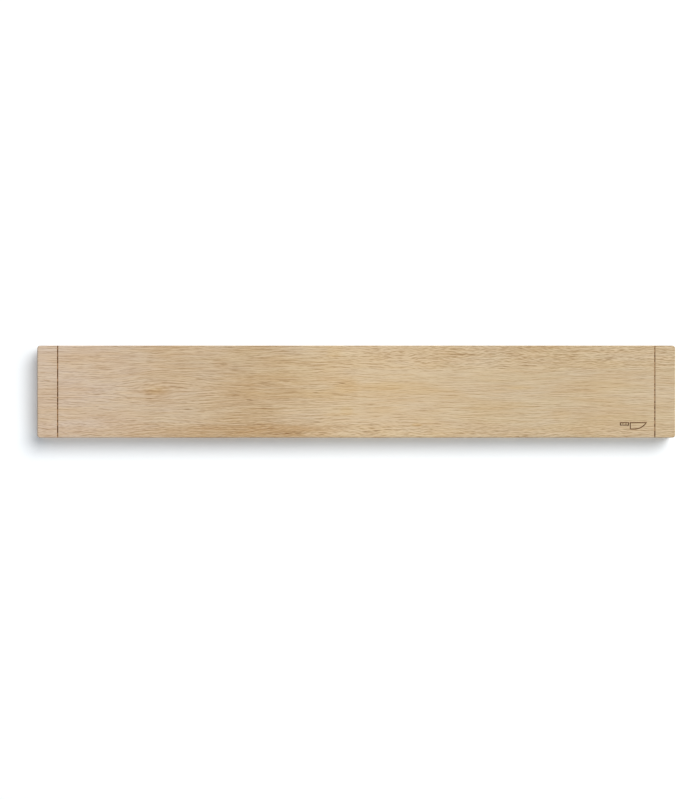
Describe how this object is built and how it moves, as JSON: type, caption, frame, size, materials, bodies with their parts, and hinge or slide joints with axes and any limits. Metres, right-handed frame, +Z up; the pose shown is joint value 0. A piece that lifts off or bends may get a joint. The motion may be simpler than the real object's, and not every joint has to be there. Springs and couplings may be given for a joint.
{
  "type": "magnetic knife rack",
  "caption": "Wall-hung wooden bar that holds knives by ferrite magnets hidden behind its thin front skin; keyhole plates in its back hang it on two wall screws.",
  "frame": {"origin": "on the wall plane, midway between the axes of the two wall screws", "axes": "+X along the rack, to the right as seen from the room; +Y into the wall; +Z up; the face that holds the knives looks along -Y"},
  "size_m": [0.45, 0.0532, 0.065],
  "materials": {
    "board_wood": "sanded and oiled, pale rubberwood with a fine straight grain along the bar",
    "cover_wood": "thin plywood, sanded",
    "yellow_zinc": "yellow zinc plate on steel",
    "foam": "closed-cell foam",
    "keeper_steel": "cold-rolled steel strip",
    "ferrite": "matte sintered ferrite",
    "zinc_plate": "blue zinc plate on stamped steel",
    "screw_steel": "zinc-plated screw steel",
    "pad_rubber": "soft grey rubber",
    "nylon": "moulded nylon"
  },
  "bodies": {
    "wall_fixings": {"wall_screws": "screw_steel", "wall_plugs": "nylon"},
    "rack": {"board": "board_wood", "back_cover": "cover_wood", "cover_screws": "yellow_zinc", "foam_strip": "foam", "keeper_strip": "keeper_steel", "magnet_01": "ferrite", "magnet_02": "ferrite", "magnet_03": "ferrite", "magnet_04": "ferrite", "magnet_05": "ferrite", "magnet_06": "ferrite", "magnet_07": "ferrite", "magnet_08": "ferrite", "magnet_09": "ferrite", "magnet_10": "ferrite", "magnet_11": "ferrite", "hanger_left": "zinc_plate", "hanger_right": "zinc_plate", "hanger_screws": "screw_steel", "bumper_bottom_left": "pad_rubber", "bumper_bottom_right": "pad_rubber", "bumper_top_left": "pad_rubber", "bumper_top_right": "pad_rubber"}
  },
  "joints": [
    {"name": "hang_lift", "type": "slide", "parent": "wall_fixings", "child": "rack", "axis": [0, 0, 1], "range_m": [0, 0.009]}
  ]
}
